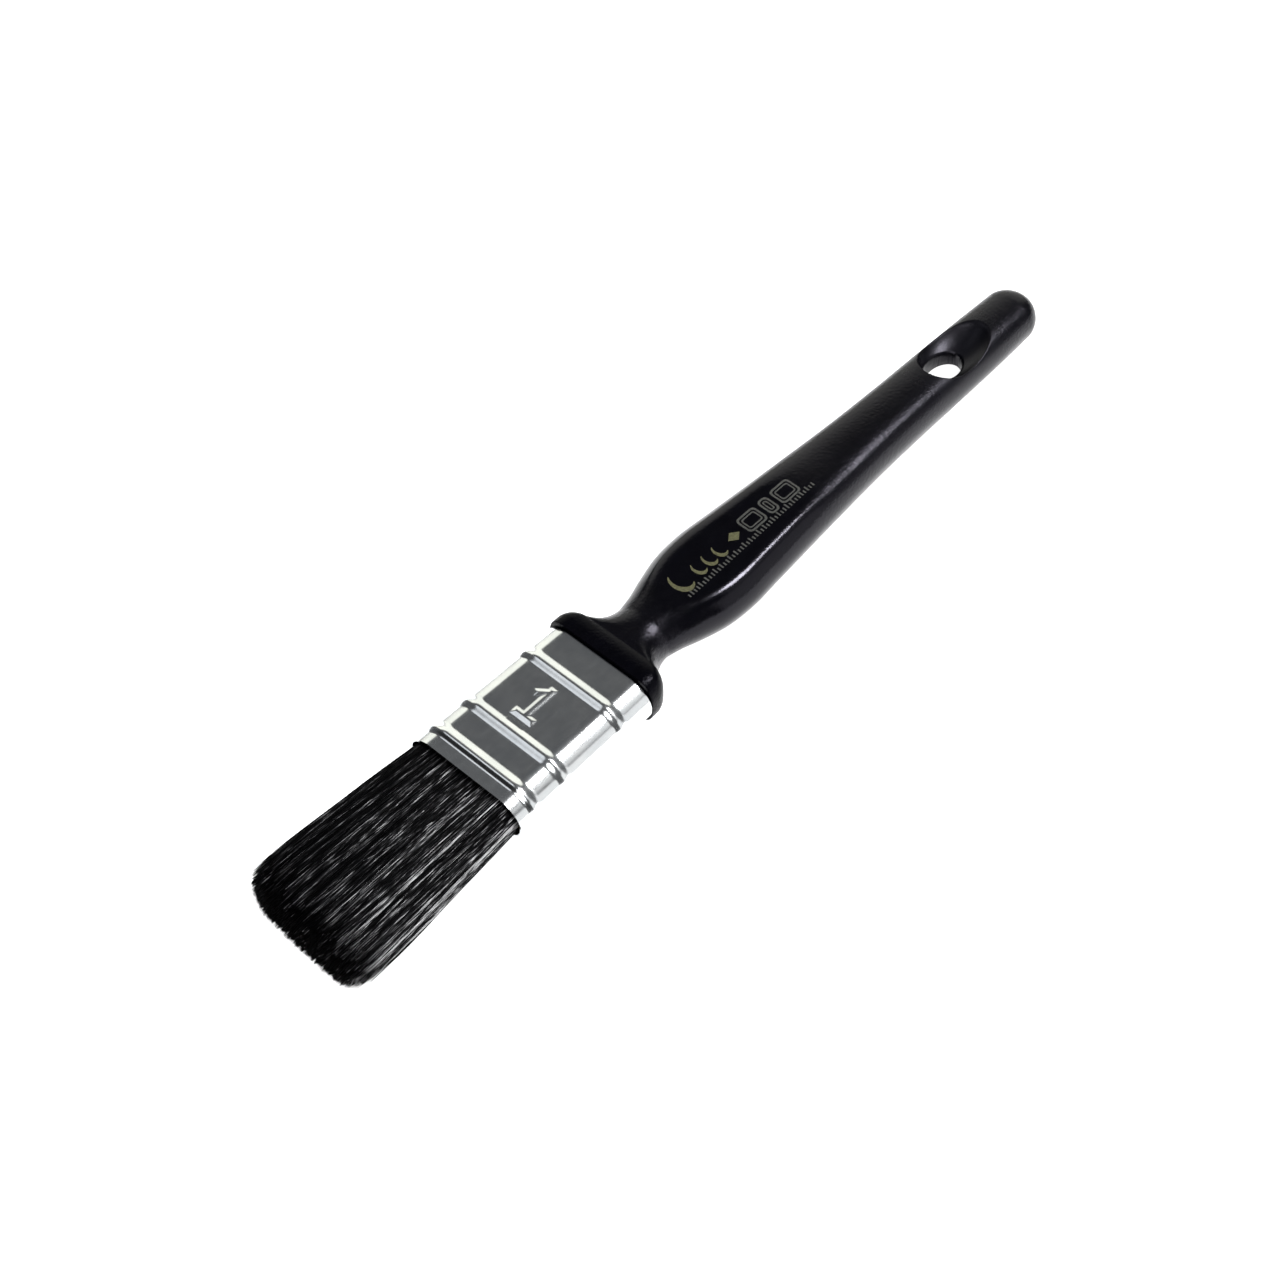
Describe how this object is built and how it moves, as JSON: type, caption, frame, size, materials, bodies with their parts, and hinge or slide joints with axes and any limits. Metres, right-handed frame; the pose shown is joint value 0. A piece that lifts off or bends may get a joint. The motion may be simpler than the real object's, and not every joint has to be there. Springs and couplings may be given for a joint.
{
  "type": "flat paint brush",
  "caption": "Flat hand paint brush: black bristles in a beaded bright metal ferrule on a black moulded handle with a slim neck, a flat-sided bulb and a dished hanging hole.",
  "frame": {"origin": "centre of the brush's footprint, on the bench that it lies on", "axes": "+Y along the brush from bristle tips to handle end, +X across its width, +Z out of its front face, up from the bench"},
  "size_m": [0.028, 0.2038, 0.0112],
  "materials": {
    "handle": "gloss black moulding with a fine grain",
    "ferrule": "bright plated sheet steel",
    "bristle": "black filaments with a slight sheen",
    "resin": "cured amber resin",
    "plug": "bare softwood",
    "pin": "plain steel"
  },
  "bodies": {
    "root": {"handle": "handle", "ferrule": "ferrule", "bristle_pack_front": "bristle", "bristle_pack_back": "bristle", "resin_setting": "resin", "reservoir_plug": "plug", "ferrule_pin_left": "pin", "ferrule_pin_right": "pin"}
  },
  "joints": []
}
